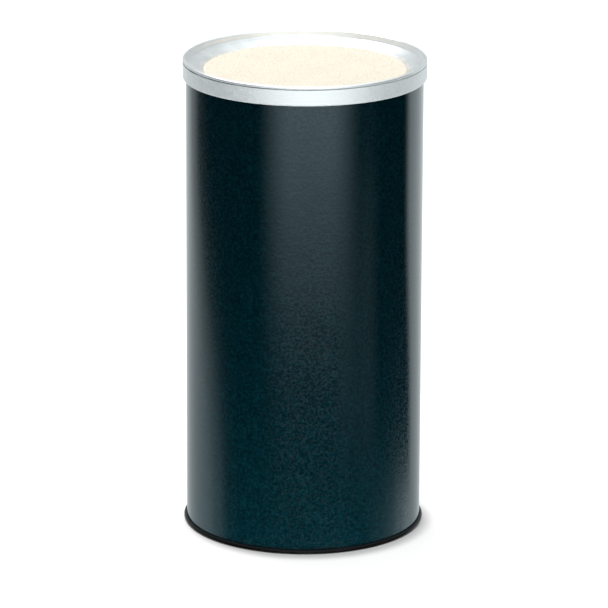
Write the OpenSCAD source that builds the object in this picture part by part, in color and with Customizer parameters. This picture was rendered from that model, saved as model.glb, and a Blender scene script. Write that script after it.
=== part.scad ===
// Round sand urn: a rolled steel shell on a vinyl base ring, with a satin
// aluminium collar round its mouth and a lift-out spun tray full of sand.
// Millimetres. +Z is up, and the origin is the centre of the base, on the floor.

/* [Overall] */
// Height from the floor to the top of the tray's lip
overall_h = 508; // [350:1:760]
// Outside diameter of the shell's straight wall
shell_d = 250.4; // [220:0.2:400]

/* [Shell] */
// Thickness of the steel sheet of the shell and the base pan
steel_t = 0.9; // [0.6:0.1:0.9]
// Width of the welded seam down the back
seam_w = 4; // [2:0.5:8]
// Height of the seam over the sheet, inside and outside
seam_relief = 0.25; // [0.1:0.05:0.3]
// Height over which the wall widens under the collar
swage_h = 4; // [3:0.5:5]

/* [Collar] */
// How far the collar and the tray's lip stand out from the wall
collar_proud = 3.4; // [3.2:0.1:5]
// Height of the collar
collar_h = 17.2; // [17:0.2:40]
// Thickness of the collar's aluminium sheet
collar_t = 1.1; // [0.8:0.1:1.1]
// Outer radius of the bend at the collar's top edge
collar_bend = 1.3; // [1.2:0.05:1.3]

/* [Tray] */
// Thickness of the tray's aluminium sheet
tray_t = 1; // [0.8:0.1:1]
// Diameter of the rolled lip
lip_d = 3.6; // [3.6:0.1:4.2]
// Depth of the upright wall inside the lip
lip_wall_h = 7; // [5:0.5:8]
// Width of the sloping flange between that wall and the pan
flange_w = 18.9; // [8:0.1:30]
// How far the flange drops on its way in
flange_drop = 5.4; // [2:0.1:8]
// Depth of the whole tray, from lip to underside
tray_depth = 63.5; // [40:0.5:100]
// Lean of the pan's wall from upright, in degrees
pan_draft = 8; // [3:1:15]
// Radius between the pan's wall and its floor
pan_corner = 8; // [4:1:15]

/* [Sand] */
// Depth of the sand's surface below the foot of the flange
sand_below_flange = 0.2; // [0.2:0.1:20]

/* [Base] */
// How far the base ring stands out from the wall
ring_proud = 3.1; // [2.7:0.1:5]
// Height of the base ring
ring_h = 5.1; // [4.5:0.1:12]
// Thickness of vinyl under the shell's bottom edge
ring_floor = 2; // [1.5:0.1:3]
// Thickness of the base ring's inner leg
ring_leg_t = 1.6; // [1.2:0.1:3]
// Height of the base pan's floor above the base ring
pan_recess = 9.9; // [5:0.1:30]
// Distance from the shell's wall to the raised middle of the base pan
boss_inset = 33.2; // [20:0.2:60]
// Height of that raised middle
boss_h = 2; // [1:0.5:4]

/* [Hidden] */

$fa = 2;
$fs = 0.5;
bend_step = 9;      // degrees turned by each short stretch of a bend
skin_gap = 0.1;     // between the round faces of pieces fitted to each other
tray_play = 0.4;    // round the tray, where it drops through the collar
curl_mouth = 0.4;   // left open at the end of a rolled edge

// Radii
wall_r = shell_d / 2;
rim_r = wall_r + collar_proud;
mouth_r = rim_r - collar_bend;
lip_wall_r = rim_r - lip_d;
collar_hole_r = lip_wall_r + tray_t + tray_play;
pan_mouth_r = lip_wall_r - flange_w;
ring_r = wall_r + ring_proud;

// Heights
collar_top = overall_h - lip_d;
collar_bottom = collar_top - collar_h;
shell_top = collar_top - collar_t;
swage_z = collar_bottom + collar_proud + 0.7;
flange_top = overall_h - lip_wall_h;
flange_foot = flange_top - flange_drop;
tray_floor = overall_h - tray_depth + tray_t;
sand_top = flange_foot - sand_below_flange;
base_floor = ring_h + pan_recess;

pan_floor_r = pan_mouth_r - (flange_foot - tray_floor) * tan(pan_draft);

function unit(v) = v / norm(v);
function left(v) = [-v.y, v.x];
function backwards(p) = [for (i = [len(p) - 1 : -1 : 0]) p[i]];
function distinct(p) = [for (i = [0 : len(p) - 1]) if (i == 0 || norm(p[i] - p[i - 1]) > 0.001) p[i]];

// The bend at b on the way from a to c: radius r on the path itself, shifted to the path's left
function bend(a, b, c, r, shift) =
    let (d0 = unit(b - a))
    let (d1 = unit(c - b))
    let (turn = atan2(cross(d0, d1), d0 * d1))
    let (side = sign(turn))
    let (centre = b + side * r * (left(d0) + left(d1)) / (1 + d0 * d1))
    let (start = atan2(left(d0).y, left(d0).x))
    let (steps = ceil(abs(turn) / bend_step))
    [for (k = [0 : steps])
        let (a_k = start + turn * k / steps)
        centre + (shift - side * r) * [cos(a_k), sin(a_k)]];

// A path of corners, each [radius from the axis, height, bend radius], with its corners rounded
function rounded(path, shift) =
    let (p = [for (q = path) [q[0], q[1]]])
    let (last = len(p) - 1)
    distinct(concat(
        [p[0] + shift * left(unit(p[1] - p[0]))],
        [for (i = [1 : last - 1]) each bend(p[i - 1], p[i], p[i + 1], path[i][2], shift)],
        [p[last] + shift * left(unit(p[last] - p[last - 1]))]));

// Sheet metal spun or rolled along a path, with its thickness on the path's left, or right if below 0
module spun_sheet(path, thickness) {
    rotate_extrude()
        polygon(concat(rounded(path, 0), backwards(rounded(path, thickness))));
}

// Steel: straight wall, widened under the collar, with one welded seam at the back
module body_shell() {
    wall = [
        [wall_r, ring_floor, 0],
        [wall_r, swage_z, 3],
        [mouth_r, swage_z + swage_h, 3],
        [mouth_r, shell_top, 0]
    ];
    color([0.05, 0.14, 0.17]) {
        spun_sheet(wall, steel_t);
        weld_bead(wall_r - steel_t / 2, wall_r + seam_relief, ring_h + 0.3);
        weld_bead(wall_r - steel_t - seam_relief, wall_r - steel_t / 2, base_floor + 2);
    }
}

// One face of the seam, which the welding rollers leave flat and a little over the sheet
module weld_bead(inner_r, outer_r, foot) {
    head = collar_bottom - 0.3;
    intersection() {
        translate([0, 0, foot])
            difference() {
                cylinder(r = outer_r, h = head - foot);
                translate([0, 0, -1])
                    cylinder(r = inner_r, h = head - foot + 2);
            }
        translate([-seam_w / 2, inner_r - 5, 0])
            cube([seam_w, 10, overall_h]);
    }
}

// Steel: a drawn disc with its flange turned down inside the shell's foot
module base_pan() {
    flange_r = wall_r - steel_t - skin_gap;
    boss_r = wall_r - boss_inset;
    disc = [
        [0, base_floor + boss_h, 0],
        [boss_r, base_floor + boss_h, 3],
        [boss_r + 2 * boss_h, base_floor, 3],
        [flange_r, base_floor, 3.5],
        [flange_r, ring_floor, 0]
    ];
    color([0.16, 0.19, 0.2])
        spun_sheet(disc, -steel_t);
}

// Black vinyl: a channel that grips the edges of the shell and the base pan
module base_ring() {
    slot_out = wall_r + skin_gap;
    slot_in = wall_r - 2 * steel_t - 2 * skin_gap;
    leg_r = slot_in - ring_leg_t;
    outline = [
        [slot_out, ring_floor, 0],
        [slot_out, ring_h, 0.4],
        [ring_r, ring_h, 2.2],
        [ring_r, 0, 1.6],
        [leg_r, 0, 0.7],
        [leg_r, ring_h, 0.7],
        [slot_in, ring_h, 0.4],
        [slot_in, ring_floor, 0]
    ];
    color([0.03, 0.03, 0.035])
        rotate_extrude()
            polygon(rounded(outline, 0));
}

// Satin aluminium: a ledge over the shell's top edge, a plain band, and a foot rolled in to the wall
module top_collar() {
    curl = collar_proud - skin_gap;
    curl_r = curl / 2;
    band = [
        [collar_hole_r, collar_top, 0],
        [rim_r, collar_top, collar_bend],
        [rim_r, collar_bottom, curl_r],
        [rim_r - curl, collar_bottom, curl_r],
        [rim_r - curl, collar_bottom + curl, curl_r],
        [rim_r - collar_t - curl_mouth, collar_bottom + curl, 0]
    ];
    color([0.78, 0.79, 0.8])
        spun_sheet(band, -collar_t);
}

tray_path = [
    [0, tray_floor, 0],
    [pan_floor_r, tray_floor, pan_corner],
    [pan_mouth_r, flange_foot, 3],
    [lip_wall_r, flange_top, 2],
    [lip_wall_r, overall_h, lip_d / 2],
    [rim_r, overall_h, lip_d / 2],
    [rim_r, collar_top, lip_d / 2],
    [lip_wall_r + tray_t + curl_mouth, collar_top, 0]
];

// Spun aluminium: a pan, a sloping flange, an upright wall and a lip rolled out over the collar
module sand_tray() {
    color([0.84, 0.85, 0.86])
        spun_sheet(tray_path, -tray_t);
}

// Sand, lying on the tray's floor and levelled just under the mouth of the pan
module sand_bed() {
    pan = [for (i = [0 : 3]) tray_path[i]];
    fill = concat([[0, overall_h]], rounded(pan, skin_gap), [[lip_wall_r, overall_h]]);
    color([0.95, 0.89, 0.76])
        rotate_extrude()
            intersection() {
                translate([0, -skin_gap])
                    polygon(fill);
                square([rim_r, sand_top]);
            }
}

body_shell();
base_pan();
base_ring();
top_collar();
sand_tray();
sand_bed();
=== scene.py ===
"""A round sand urn: painted steel shell, vinyl base ring, aluminium collar and a lift-out tray of sand."""
import math
import random

import bmesh
import bpy
from mathutils import Euler, Matrix, Vector, noise


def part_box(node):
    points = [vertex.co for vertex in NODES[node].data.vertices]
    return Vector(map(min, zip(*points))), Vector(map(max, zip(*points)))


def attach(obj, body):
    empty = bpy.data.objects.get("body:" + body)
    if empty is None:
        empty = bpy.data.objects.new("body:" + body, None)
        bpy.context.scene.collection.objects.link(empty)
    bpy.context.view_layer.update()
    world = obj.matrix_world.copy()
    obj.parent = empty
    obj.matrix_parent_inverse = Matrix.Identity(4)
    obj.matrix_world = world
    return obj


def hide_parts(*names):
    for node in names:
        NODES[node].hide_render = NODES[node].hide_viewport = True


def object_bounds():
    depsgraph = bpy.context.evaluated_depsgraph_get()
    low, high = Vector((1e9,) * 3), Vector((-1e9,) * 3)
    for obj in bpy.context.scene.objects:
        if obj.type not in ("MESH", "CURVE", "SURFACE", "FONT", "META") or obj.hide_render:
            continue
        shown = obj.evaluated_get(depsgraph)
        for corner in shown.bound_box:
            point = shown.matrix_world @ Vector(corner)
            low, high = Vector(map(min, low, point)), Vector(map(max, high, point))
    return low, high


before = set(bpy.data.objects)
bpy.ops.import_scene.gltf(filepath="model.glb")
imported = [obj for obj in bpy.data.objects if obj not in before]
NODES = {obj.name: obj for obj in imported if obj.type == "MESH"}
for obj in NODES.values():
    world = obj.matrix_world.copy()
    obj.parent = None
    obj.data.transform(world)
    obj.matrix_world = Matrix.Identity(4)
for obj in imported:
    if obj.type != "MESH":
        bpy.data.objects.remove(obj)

CAD_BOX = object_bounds()
MM = 0.001
TOP_Z = CAD_BOX[1].z
COLLAR_LOW, COLLAR_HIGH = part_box("top_collar")
LIP_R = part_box("sand_tray")[1].x
SAND_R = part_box("sand_bed")[1].x
RING_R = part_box("base_ring")[1].x


# ---------------------------------------------------------------- camera

CAMERA_DISTANCE = 5.0
CAMERA_HEIGHT = 1.731
CAMERA_LENS = 290.0
CAMERA_ROLL = 0.004
AIM_Z = 0.468 * TOP_Z


def place_camera():
    """In front of the urn and looking down on it, with only the smallest roll and no shift."""
    data = bpy.data.cameras.new("photo_camera")
    data.lens = CAMERA_LENS
    data.sensor_width = 36.0
    data.clip_start, data.clip_end = 0.05, 50.0
    camera = bpy.data.objects.new("photo_camera", data)
    camera.location = (0.0, -CAMERA_DISTANCE, CAMERA_HEIGHT)
    tilt = math.atan2(CAMERA_HEIGHT - AIM_Z, CAMERA_DISTANCE)
    aim = Euler((math.pi / 2 - tilt, 0.0, 0.0)).to_matrix() @ Matrix.Rotation(CAMERA_ROLL, 3, "Z")
    camera.rotation_euler = aim.to_euler()
    bpy.context.scene.collection.objects.link(camera)
    bpy.context.scene.camera = camera


# ---------------------------------------------------------------- node trees

class Tree:
    """A shader node tree, with short methods that add the nodes used below and link them."""

    def __init__(self, tree):
        self.tree = tree
        self.nodes = tree.nodes

    def feed(self, socket, value):
        """Links a socket to another node's output, or sets its value."""
        if isinstance(value, bpy.types.NodeSocket):
            self.tree.links.new(value, socket)
        elif value is not None:
            socket.default_value = value

    def math(self, operation, a, b=None):
        node = self.nodes.new("ShaderNodeMath")
        node.operation = operation
        self.feed(node.inputs[0], a)
        self.feed(node.inputs[1], b)
        return node.outputs[0]

    def total(self, first, *rest):
        for value in rest:
            first = self.math("ADD", first, value)
        return first

    def product(self, first, *rest):
        for value in rest:
            first = self.math("MULTIPLY", first, value)
        return first

    def vector_math(self, operation, a, b=None, output=0):
        node = self.nodes.new("ShaderNodeVectorMath")
        node.operation = operation
        self.feed(node.inputs[0], a)
        self.feed(node.inputs[1], b)
        return node.outputs[output]

    def length(self, vector):
        return self.vector_math("LENGTH", vector, output=1)

    def split(self, vector):
        node = self.nodes.new("ShaderNodeSeparateXYZ")
        self.feed(node.inputs[0], vector)
        return node.outputs

    def join(self, x, y, z):
        node = self.nodes.new("ShaderNodeCombineXYZ")
        for socket, value in zip(node.inputs, (x, y, z)):
            self.feed(socket, value)
        return node.outputs[0]

    def noise(self, vector, scale, detail=2.0, roughness=0.5):
        node = self.nodes.new("ShaderNodeTexNoise")
        self.feed(node.inputs["Vector"], vector)
        node.inputs["Scale"].default_value = scale
        node.inputs["Detail"].default_value = detail
        node.inputs["Roughness"].default_value = roughness
        return node.outputs["Fac"]

    def cells(self, vector, scale, output):
        node = self.nodes.new("ShaderNodeTexVoronoi")
        self.feed(node.inputs["Vector"], vector)
        node.inputs["Scale"].default_value = scale
        return node.outputs[output]

    def remap(self, value, low, high, to_low=0.0, to_high=1.0):
        """Takes low..high to to_low..to_high with soft ends, and holds it there outside."""
        node = self.nodes.new("ShaderNodeMapRange")
        node.interpolation_type = "SMOOTHSTEP"
        for name, number in (("From Min", low), ("From Max", high), ("To Min", to_low), ("To Max", to_high)):
            node.inputs[name].default_value = number
        self.feed(node.inputs["Value"], value)
        return node.outputs["Result"]

    def ramp(self, value, stops, interpolation="EASE"):
        """A colour for each stop of (place, colour), where a colour may be one grey number."""
        node = self.nodes.new("ShaderNodeValToRGB")
        node.color_ramp.interpolation = interpolation
        elements = node.color_ramp.elements
        while len(elements) < len(stops):
            elements.new(0.5)
        for element, (place, colour) in zip(elements, stops):
            element.position = place
            element.color = (*colour, 1.0) if isinstance(colour, tuple) else (colour, colour, colour, 1.0)
        self.feed(node.inputs["Fac"], value)
        return node.outputs["Color"]

    def mix(self, factor, a, b, blend="MIX"):
        node = self.nodes.new("ShaderNodeMix")
        node.data_type = "RGBA"
        node.blend_type = blend
        self.feed(node.inputs[0], factor)
        for socket, value in ((node.inputs[6], a), (node.inputs[7], b)):
            self.feed(socket, (*value, 1.0) if isinstance(value, tuple) else value)
        return node.outputs[2]

    def bump(self, height, depth, under=None):
        """Relief of the given depth in metres, for a height from 0 to 1, on top of the relief under it."""
        node = self.nodes.new("ShaderNodeBump")
        node.inputs["Strength"].default_value = 1.0
        node.inputs["Distance"].default_value = depth
        self.feed(node.inputs["Height"], height)
        self.feed(node.inputs["Normal"], under)
        return node.outputs["Normal"]

    def camera_only(self, output, seen, cast):
        """Shows the camera one shader, and gives every other ray a second one."""
        choose = self.nodes.new("ShaderNodeMixShader")
        self.feed(choose.inputs[0], self.nodes.new("ShaderNodeLightPath").outputs["Is Camera Ray"])
        self.feed(choose.inputs[1], cast)
        self.feed(choose.inputs[2], seen)
        self.feed(self.nodes[output].inputs["Surface"], choose.outputs[0])


class Surface(Tree):
    """A material, its Principled shader, and the coordinates that a turned part needs."""

    def __init__(self, name, **sockets):
        self.material = bpy.data.materials.new(name)
        self.material.use_nodes = True
        super().__init__(self.material.node_tree)
        self.shader = self.nodes["Principled BSDF"]
        for socket, value in sockets.items():
            self.shader.inputs[socket.replace("_", " ")].default_value = value
        self.place = self.nodes.new("ShaderNodeTexCoord").outputs["Object"]
        self.x, self.y, self.z = self.split(self.place)
        self.radius = self.length(self.join(self.x, self.y, 0.0))

    def finish(self, colour, roughness, normal):
        self.feed(self.shader.inputs["Base Color"], colour)
        self.feed(self.shader.inputs["Roughness"], roughness)
        self.feed(self.shader.inputs["Normal"], normal)
        return self.material

    def stretched(self, across, up, height=None):
        """The place with its x and y times one number, and its height times another."""
        height = self.z if height is None else height
        return self.join(self.product(self.x, across), self.product(self.y, across), self.product(height, up))

    def turned(self, across, up):
        """Coordinates for fine lines that run round the axis, on upright and on level faces alike."""
        return self.stretched(across, up, self.total(self.z, self.radius))

    def brushed_round(self):
        """Points the shader's anisotropy round the axis."""
        tangent = self.nodes.new("ShaderNodeTangent")
        tangent.direction_type = "RADIAL"
        tangent.axis = "Z"
        self.feed(self.shader.inputs["Tangent"], tangent.outputs[0])

    def facing_out(self):
        """1 on faces that look away from the axis and 0 on faces that look towards it."""
        normal = self.nodes.new("ShaderNodeNewGeometry").outputs["Normal"]
        outward = self.vector_math("NORMALIZE", self.join(self.x, self.y, 0.0))
        return self.remap(self.vector_math("DOT_PRODUCT", normal, outward, output=1), -0.1, 0.1)


# ---------------------------------------------------------------- materials

def shell_paint():
    """Dark teal textured paint outside; thin grey-green primer inside."""
    s = Surface("shell_paint", IOR=1.58, Specular_Tint=(0.82, 1.0, 1.08, 1.0))
    grain = s.noise(s.place, 300, 1.0, 0.5)
    tooth = s.noise(s.place, 410, 1.0, 0.5)
    fine = s.noise(s.place, 1100, 2, 0.6)
    cloud = s.noise(s.place, 45, 4, 0.6)
    colour = s.ramp(grain, ((0.30, (0.0002, 0.0078, 0.0108)), (0.50, (0.0004, 0.0117, 0.0161)),
                            (0.70, (0.0009, 0.0174, 0.0237))))
    colour = s.mix(1.0, colour, s.ramp(fine, ((0.35, 0.9), (0.65, 1.0))), "MULTIPLY")
    colour = s.mix(1.0, colour, s.ramp(cloud, ((0.3, 0.86), (0.7, 1.0))), "MULTIPLY")
    roughness = s.remap(tooth, 0.35, 0.65, 0.14, 0.06)

    # Faint rub marks just above the ring, where shoes and mops reach
    low = s.remap(s.z, 6 * MM, 24 * MM, 1.0, 0.0)
    streak = s.noise(s.stretched(60.0, 900.0), 1.0, 4, 0.7)
    rub = s.product(low, s.remap(streak, 0.56, 0.66))
    colour = s.mix(s.product(rub, 0.18), colour, (0.04, 0.065, 0.07))
    roughness = s.total(roughness, s.product(rub, 0.04))

    # The primer inside, with runs down the wall
    run = s.noise(s.stretched(90.0, 9.0), 1.0, 3, 0.6)
    primer = s.ramp(s.product(s.total(run, cloud), 0.5),
                    ((0.35, (0.035, 0.04, 0.04)), (0.65, (0.085, 0.093, 0.09))))
    primer_roughness = 0.6
    outside = s.facing_out()
    colour = s.mix(outside, primer, colour)
    sheen = s.math("SUBTRACT", roughness, primer_roughness)
    roughness = s.total(s.product(outside, sheen), primer_roughness)

    # The rolled sheet isn't quite even, and the paint on it has a grain
    sheet = s.bump(s.noise(s.place, 8, 1), 0.12 * MM)
    normal = s.bump(fine, 0.004 * MM, s.bump(grain, 0.016 * MM, sheet))
    return s.finish(colour, roughness, normal)


def base_paint():
    """A flatter paint on the base pan, dusty and scuffed."""
    s = Surface("base_paint", IOR=1.5)
    grain = s.noise(s.place, 620, 3, 0.65)
    scuff = s.noise(s.place, 70, 6, 0.75)
    colour = s.ramp(grain, ((0.3, (0.018, 0.024, 0.026)), (0.7, (0.05, 0.06, 0.062))))
    colour = s.mix(s.remap(scuff, 0.55, 0.66, 0.0, 0.45), colour, (0.17, 0.175, 0.165))
    roughness = s.remap(scuff, 0.4, 0.7, 0.42, 0.72)
    return s.finish(colour, roughness, s.bump(grain, 0.04 * MM))


def vinyl():
    """Black extruded vinyl, glossy but for the fine dust where it meets the floor."""
    s = Surface("vinyl", IOR=1.5, Specular_IOR_Level=0.12)
    fine = s.noise(s.place, 1500, 3, 0.6)
    smear = s.noise(s.stretched(1.0, 9.0), 90, 4, 0.65)
    dust = s.product(s.remap(s.z, 0.5 * MM, 4 * MM, 1.0, 0.0), s.remap(smear, 0.45, 0.7))
    colour = s.ramp(fine, ((0.3, (0.0006, 0.0006, 0.0007)), (0.7, (0.0018, 0.0018, 0.002))))
    colour = s.mix(s.product(dust, 0.12), colour, (0.12, 0.115, 0.105))
    roughness = s.total(s.remap(smear, 0.3, 0.7, 0.09, 0.15), s.product(dust, 0.25))
    return s.finish(colour, roughness, s.bump(fine, 0.008 * MM))


def gap_painted_shade(s, colour, gap):
    """Painted shade in the gap between the collar and the tray's lip: patchy, and darker on the -X side."""
    patch = s.remap(s.noise(s.place, 60, 3, 0.6), 0.3, 0.6, 0.6, 1.0)
    side = s.remap(s.x, -115 * MM, 20 * MM, 0.85, 0.35)
    return s.mix(s.product(gap, patch, side), colour, (0.12, 0.12, 0.125))


def brushed_collar():
    """Satin aluminium brushed round the band, mottled, darker and duller on its rolled foot, with painted
    shade at the top.
    """
    s = Surface("collar_aluminium", Metallic=1.0, Anisotropic=0.35, Anisotropic_Rotation=0.25)
    s.brushed_round()
    line = s.noise(s.turned(26.0, 2600.0), 1.0, 4, 0.7)
    mottle = s.noise(s.place, 420, 2, 0.6)
    colour = s.ramp(s.total(s.product(line, 0.4), s.product(mottle, 0.6)),
                    ((0.3, (0.88, 0.885, 0.89)), (0.7, (0.97, 0.975, 0.98))))

    # Darker and duller on the rolled foot; painted shade round the bend at the top, under the tray's lip
    foot = s.remap(s.z, COLLAR_LOW.z + 0.2 * MM, COLLAR_LOW.z + 1.2 * MM, 1.0, 0.0)
    dark_dull_foot = s.product(foot, s.remap(mottle, 0.35, 0.65))
    colour = s.mix(s.product(dark_dull_foot, 0.35), colour, (0.40, 0.40, 0.39))
    colour = gap_painted_shade(s, colour, s.remap(s.z, COLLAR_HIGH.z - 1.0 * MM, COLLAR_HIGH.z - 0.3 * MM))

    roughness = s.total(s.remap(mottle, 0.3, 0.7, 0.54, 0.72), s.product(dark_dull_foot, 0.15))
    return s.finish(colour, roughness, s.bump(mottle, 0.012 * MM, s.bump(line, 0.006 * MM)))


def spun_tray():
    """Spun aluminium: fine rings round the axis, worn dull and dusted with sand at the pan's mouth; painted
    shade under the lip.
    """
    s = Surface("tray_aluminium", Metallic=1.0, Anisotropic=0.5, Anisotropic_Rotation=0.25)
    s.brushed_round()
    ring = s.noise(s.turned(14.0, 2200.0), 1.0, 4, 0.7)
    cloud = s.noise(s.place, 70, 4, 0.6)
    colour = s.ramp(s.total(s.product(ring, 0.6), s.product(cloud, 0.4)),
                    ((0.3, (0.82, 0.825, 0.83)), (0.7, (0.92, 0.925, 0.93))))

    # Sand rubbed into the foot of the flange
    near_sand = s.remap(s.radius, SAND_R + 1 * MM, SAND_R + 7 * MM, 1.0, 0.0)
    grit = s.noise(s.place, 900, 4, 0.8)
    rub = s.product(near_sand, s.remap(grit, 0.42, 0.6))
    colour = s.mix(s.product(rub, 0.5), colour, (0.74, 0.69, 0.60))

    # Painted shade on the underside of the lip, which hangs out over the collar
    hanging = s.remap(s.radius, LIP_R - 2.2 * MM, LIP_R - 1.2 * MM)
    underside = s.remap(s.z, COLLAR_HIGH.z + 0.2 * MM, COLLAR_HIGH.z + 0.9 * MM, 1.0, 0.0)
    colour = gap_painted_shade(s, colour, s.product(hanging, underside))

    roughness = s.total(s.remap(cloud, 0.3, 0.7, 0.32, 0.40), s.product(rub, 0.2))
    return s.finish(colour, roughness, s.bump(ring, 0.006 * MM))


def sand_grains():
    """Pale quartz sand: each grain its own cream, peach or tan, with a rare brown one."""
    grains_per_metre = 1500
    s = Surface("sand", IOR=1.45, Specular_IOR_Level=0.3)
    tone = s.split(s.cells(s.place, grains_per_metre, "Color"))[0]
    colour = s.ramp(tone, ((0.0, (0.56, 0.475, 0.365)), (0.12, (0.66, 0.58, 0.475)),
                           (0.5, (0.73, 0.64, 0.53)), (0.9, (0.80, 0.725, 0.635))), "LINEAR")
    brown = s.remap(tone, 0.012, 0.006)
    colour = s.mix(s.product(brown, 0.7), colour, (0.30, 0.20, 0.12))
    damp = s.ramp(s.noise(s.place, 26, 4, 0.55), ((0.3, (0.975, 0.965, 0.955)), (0.7, 1.0)))
    colour = s.mix(1.0, colour, damp, "MULTIPLY")
    off_centre = s.cells(s.place, grains_per_metre, "Distance")
    normal = s.bump(s.math("SUBTRACT", 1.0, off_centre), 0.25 * MM)
    return s.finish(colour, s.remap(tone, 0.0, 1.0, 0.72, 0.95), normal)


def dress(node, material):
    """Gives a CAD node its material."""
    part = NODES[node]
    if not part.material_slots:
        part.data.materials.append(material)
    for slot in part.material_slots:
        slot.material = material


def add_object(name, mesh, material):
    """Puts a new mesh in the scene, in one material."""
    mesh.materials.append(material)
    piece = bpy.data.objects.new(name, mesh)
    bpy.context.scene.collection.objects.link(piece)
    return piece


# ---------------------------------------------------------------- sand

SAND_RINGS = 130
SAND_SPOKES = 384
SAND_EDGE = 0.93            # the share of the radius past which the top runs down or up to its edge
SAND_GAP = 0.06 * MM        # between the sand's edge and the tray
SAND_CREEP = 1.0 * MM       # how far the sand climbs on to the flange, at most


def upper_face(thing, x, y):
    """The height of an object's upper face at a spot, or the urn's top where it has none."""
    hit, spot, _, _ = thing.ray_cast(Vector((x, y, TOP_Z + 0.1)), Vector((0, 0, -1)))
    return spot.z if hit else TOP_Z


def outer_outline(node):
    """(radius, height) of a turned node's outer face, from the top down."""
    widest = {}
    for vertex in NODES[node].data.vertices:
        height = round(vertex.co.z, 6)
        widest[height] = max(widest.get(height, 0.0), math.hypot(vertex.co.x, vertex.co.y))
    return sorted(((radius, height) for height, radius in widest.items()), key=lambda row: -row[1])


def sand_swell(x, y):
    """How far the sand stands over its mean level: what is left after it was struck off flat."""
    spot = Vector((x, y, 0.0))
    slow = noise.noise(spot * 17) * 0.35
    drag = noise.noise(Vector((x * 30 + y * 8, y * 120 - x * 30, 3.0))) * 0.16
    fine = noise.noise(spot * 420) * 0.10 + noise.noise(spot * 1000) * 0.07
    return (slow + drag + fine) * MM


def contact_radius(angle, mouth_r):
    """Where the sand's edge lies on the flange at an angle round the tray."""
    lobe = Vector((math.cos(angle), math.sin(angle), 0.0))
    wander = 0.5 + 0.45 * noise.noise(lobe * 3) + 0.25 * noise.noise(lobe * 14)
    wander += 0.12 * noise.noise(lobe * 60)
    return mouth_r + SAND_CREEP * min(max(wander, 0.1), 1.0)


def sand_spoke(angle, side):
    """One spoke's points, from beside the centre out over the top and down the pan's wall."""
    tray = NODES["sand_tray"]
    mouth_r, mouth_z = side[0]
    cos_a, sin_a = math.cos(angle), math.sin(angle)
    edge_r = contact_radius(angle, mouth_r)
    edge_z = upper_face(tray, edge_r * cos_a, edge_r * sin_a) + SAND_GAP
    points = []
    for i in range(1, SAND_RINGS):
        share = i / SAND_RINGS
        x, y = edge_r * share * cos_a, edge_r * share * sin_a
        blend = max(0.0, (share - SAND_EDGE) / (1 - SAND_EDGE)) ** 2
        points.append((x, y, (mouth_z + sand_swell(x, y)) * (1 - blend) + edge_z * blend))
    points.append((edge_r * cos_a, edge_r * sin_a, edge_z))
    middle_r = (edge_r + mouth_r) / 2
    middle_z = upper_face(tray, middle_r * cos_a, middle_r * sin_a) + SAND_GAP / 2
    points.append((middle_r * cos_a, middle_r * sin_a, min(middle_z, edge_z)))
    points += [(r * cos_a, r * sin_a, z) for r, z in side]
    return points


def make_sand(material):
    """One closed body: a struck-off top, a ragged edge on the flange, and the pan's own shape below."""
    side = outer_outline("sand_bed")
    spokes = [sand_spoke(2 * math.pi * k / SAND_SPOKES, side) for k in range(SAND_SPOKES)]
    top_centre = (0.0, 0.0, side[0][1] + sand_swell(0.0, 0.0))
    floor_centre = (0.0, 0.0, side[-1][1])
    depth = len(spokes[0])
    verts = [top_centre, floor_centre] + [point for spoke in spokes for point in spoke]
    faces = []
    for k in range(SAND_SPOKES):
        here, there = 2 + k * depth, 2 + (k + 1) % SAND_SPOKES * depth
        faces.append((0, here, there))
        faces += [(here + i, here + i + 1, there + i + 1, there + i) for i in range(depth - 1)]
        faces.append((here + depth - 1, 1, there + depth - 1))
    mesh = bpy.data.meshes.new("sand_fill")
    mesh.from_pydata(verts, [], faces)
    mesh.shade_smooth()
    sand = add_object("sand_fill", mesh, material)
    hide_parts("sand_bed")
    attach(sand, "tray")
    return sand


GRAIN_COUNT = 900
GRAIN_SEED = 7
GRAIN_RADIUS = (0.22 * MM, 0.5 * MM)
GRAINS_PER_STRAY = 3        # one grain in this many lies on the flange
LIFT_ON_TRAY = 0.8          # the height of a grain's middle over the tray, as a share of its radius
LIFT_ON_SAND = 0.25         # and over the sand, which it is partly sunk in
FLANGE_SCATTER = 2.2 * MM   # how far up the flange a stray grain lies, on average
FLANGE_REACH = 15 * MM      # past this a stray grain is left out
SAND_MARGIN = 2 * MM        # kept clear on both sides of the sand's edge


def make_loose_grains(material, sand):
    """Single grains: a few thrown up on the flange, the rest proud of the sand's top."""
    draw = random.Random(GRAIN_SEED)
    shape = bmesh.new()
    for count in range(GRAIN_COUNT):
        on_flange = count % GRAINS_PER_STRAY == 0
        angle = draw.uniform(0, 2 * math.pi)
        if on_flange:
            radius = SAND_R + SAND_MARGIN + draw.expovariate(1 / FLANGE_SCATTER)
            if radius > SAND_R + FLANGE_REACH:
                continue
        else:
            radius = (SAND_R - SAND_MARGIN) * math.sqrt(draw.random())
        x, y = radius * math.cos(angle), radius * math.sin(angle)
        size = draw.uniform(*GRAIN_RADIUS)
        if on_flange:
            height = upper_face(NODES["sand_tray"], x, y) + size * LIFT_ON_TRAY
        else:
            height = upper_face(sand, x, y) + size * LIFT_ON_SAND
        turn = Euler([draw.uniform(0, math.pi) for _ in range(3)]).to_matrix().to_4x4()
        stretch = Matrix.Diagonal((size, size * draw.uniform(0.7, 1.0), size * draw.uniform(0.6, 0.9), 1.0))
        bmesh.ops.create_icosphere(shape, subdivisions=1, radius=1.0,
                                   matrix=Matrix.Translation((x, y, height)) @ turn @ stretch)
    mesh = bpy.data.meshes.new("loose_grains")
    shape.to_mesh(mesh)
    shape.free()
    grains = add_object("loose_grains", mesh, material)
    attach(grains, "tray")


# ---------------------------------------------------------------- studio

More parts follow.
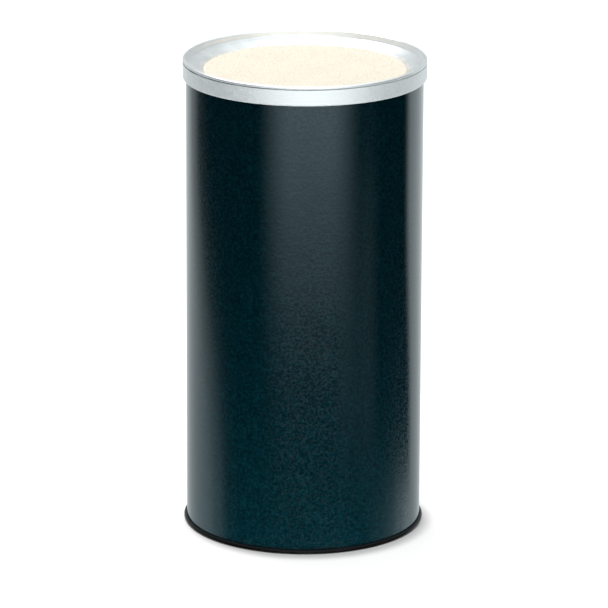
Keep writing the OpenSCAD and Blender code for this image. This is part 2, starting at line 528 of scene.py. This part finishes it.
WHITE = (1.0, 1.0, 1.0, 1.0)
LIGHT_TINT = (0.93, 1.0, 1.015, 1.0)
CEILING = 1.3                       # brightness of the surround from halfway up
OVERHEAD = 0.95                     # and straight up
FLOOR_HALF = 6.0
GLOW = 0.53                         # of the floor, which keeps the soft shadows pale
CONTACT_GLOW = 0.13                 # and close by the ring, for a contact shadow
CONTACT_CENTRE = (0.004, -0.011, 0)
CONTACT_INNER = -8 * MM             # past the ring's radius, where the glow begins to rise
CONTACT_OUTER = 11 * MM             # and where it is full
BOUNCE = 3.1                        # the light that the floor sends up at the urn from close by
BOUNCE_FAR = 0.05                   # and from far off
BOUNCE_CENTRE = (-0.05, -0.08, 0)
BOUNCE_INNER = 0.12                 # the radius round that centre where it begins to fall
BOUNCE_OUTER = 0.66                 # and where it has fallen
KEY_SIZE = 1.3
KEY_WATTS = 40.0
KEY_PLACE = (-0.6, 1.1, 2.8)
KEY_AIM = (0, 0, 0.3)


class Surround(Tree):
    """The world's node tree, with the azimuth and the height of the direction that a ray looks in."""

    def __init__(self, world):
        super().__init__(world.node_tree)
        x, y, self.z = self.split(self.nodes.new("ShaderNodeTexCoord").outputs["Generated"])
        angle = self.math("ARCTAN2", x, self.product(y, -1.0))
        self.turn = self.total(self.math("DIVIDE", angle, 2 * math.pi), 0.5)

    def around(self, *stops, lean=None):
        """Brightness by azimuth, from stops of (degrees off the front, brightness), moved on by a lean."""
        place = self.turn if lean is None else self.math("SUBTRACT", self.turn, lean)
        return self.ramp(place, [(degrees / 360 + 0.5, level) for degrees, level in stops])


def panels_below(w):
    """The light below the horizon, which an upright wall mirrors to an eye above it.

    To an eye where the scene's camera is, the urn's wall mirrors heights from -0.25 at its top to -0.33
    at its foot.
    """
    # In front: a broad sheen down the middle of the wall, gone by its foot
    front = w.product(w.around((-48, 0.0), (-12, 1.85), (22, 1.85), (58, 0.0)), w.remap(w.z, -0.306, -0.226))

    # To the right of that: a faint one, only in the middle of the wall's height
    streak = w.product(w.around((26, 0.0), (44, 0.17), (64, 0.22), (82, 0.0)),
                       w.remap(w.z, -0.328, -0.296), w.remap(w.z, -0.245, -0.275))

    # Behind on the left, and further round towards the foot
    left = w.around((-180, 0.95), (-152, 0.95), (-137, 0.6), (-121, 0.08), (-106, 0.0),
                    lean=w.remap(w.z, -0.25, -0.325, 0.0, 43 / 360))
    left = w.product(left, w.remap(w.z, -0.26, -0.33, 1.0, 0.83))

    # Behind on the right, and a little further back towards the foot
    right = w.around((113, 0.0), (126, 1.1), (150, 1.12), (180, 1.05),
                     lean=w.remap(w.z, -0.265, -0.31, 0.0, 10 / 360))
    right = w.product(right, w.remap(w.z, -0.26, -0.32, 1.0, 0.74))

    # On the right, at the foot alone
    foot = w.product(w.around((62, 0.0), (81, 0.18), (97, 0.43), (110, 0.85), (123, 1.1), (136, 0.0)),
                     w.remap(w.z, -0.318, -0.325))

    # Lower than that eye sees in the wall, for what is rougher or rounder: the collar and the lip
    under = w.product(w.around((-110, 0.5), (-40, 2.2), (50, 2.35), (105, 0.5)),
                      w.remap(w.z, -0.5, -0.62), w.remap(w.z, -0.88, -0.7, 0.2, 1.0))
    return w.total(front, streak, left, right, foot, under)


def studio_world():
    """White to the camera; the light it gives is a bright ceiling over soft panels with dark gaps."""
    world = bpy.data.worlds.new("studio")
    bpy.context.scene.world = world
    world.use_nodes = True
    w = Surround(world)

    def blend(lower, upper, share):
        """The upper light's share of the brightness, and the rest from the lower one."""
        return w.total(w.product(lower, w.math("SUBTRACT", 1.0, share)), w.product(upper, share))

    level = w.around((-180, 0.6), (-140, 0.6), (-100, 0.5), (-50, 0.6), (-22, 1.6), (36, 1.6), (62, 0.6),
                     (110, 0.5), (140, 0.6), (180, 0.6))
    sides = blend(panels_below(w), level, w.remap(w.z, -0.12, 0.06))
    ceiling = w.remap(w.z, 0.9, 0.99, CEILING, OVERHEAD)
    light = w.nodes["Background"]
    light.inputs["Color"].default_value = LIGHT_TINT
    w.feed(light.inputs["Strength"], blend(sides, ceiling, w.remap(w.z, 0.45, 0.8)))
    white = w.nodes.new("ShaderNodeBackground")
    white.inputs["Color"].default_value = WHITE
    w.camera_only("World Output", seen=white.outputs[0], cast=light.outputs[0])


def studio_floor():
    """A wide pale floor, which the urn's gloss doesn't mirror."""
    mesh = bpy.data.meshes.new("floor")
    h = FLOOR_HALF
    mesh.from_pydata([(-h, -h, 0), (h, -h, 0), (h, h, 0), (-h, h, 0)], [], [(0, 1, 2, 3)])
    s = Surface("floor", Specular_IOR_Level=0.0, Emission_Color=WHITE)
    pale = s.ramp(s.noise(s.place, 3, 2), ((0.0, (0.58, 0.54, 0.533)), (1.0, (0.6, 0.56, 0.553))))
    s.finish(pale, 0.8, None)
    from_middle = s.length(s.vector_math("SUBTRACT", s.place, CONTACT_CENTRE))
    beyond_ring = s.math("SUBTRACT", from_middle, RING_R)
    glow = s.remap(beyond_ring, CONTACT_INNER, CONTACT_OUTER, CONTACT_GLOW, GLOW)
    s.feed(s.shader.inputs["Emission Strength"], glow)
    bounce = s.nodes.new("ShaderNodeEmission")
    spread = s.length(s.vector_math("SUBTRACT", s.place, BOUNCE_CENTRE))
    s.feed(bounce.inputs["Strength"], s.remap(spread, BOUNCE_INNER, BOUNCE_OUTER, BOUNCE, BOUNCE_FAR))
    s.camera_only("Material Output", seen=s.shader.outputs[0], cast=bounce.outputs[0])
    floor = add_object("floor", mesh, s.material)
    floor.visible_glossy = False


def soft_key():
    """A big softbox, high behind the urn's left shoulder, so its soft shadow falls to the front right."""
    data = bpy.data.lights.new("soft_key", "AREA")
    data.shape = "SQUARE"
    data.size = KEY_SIZE
    data.energy = KEY_WATTS
    lamp = bpy.data.objects.new("soft_key", data)
    lamp.location = KEY_PLACE
    lamp.rotation_euler = (Vector(KEY_AIM) - lamp.location).to_track_quat("-Z", "Y").to_euler()
    bpy.context.scene.collection.objects.link(lamp)


# ---------------------------------------------------------------- the urn

place_camera()
dress("body_shell", shell_paint())
dress("base_pan", base_paint())
dress("base_ring", vinyl())
dress("top_collar", brushed_collar())
dress("sand_tray", spun_tray())
sand_material = sand_grains()
make_loose_grains(sand_material, make_sand(sand_material))

bpy.context.scene.view_settings.view_transform = "Standard"
studio_world()
studio_floor()
soft_key()
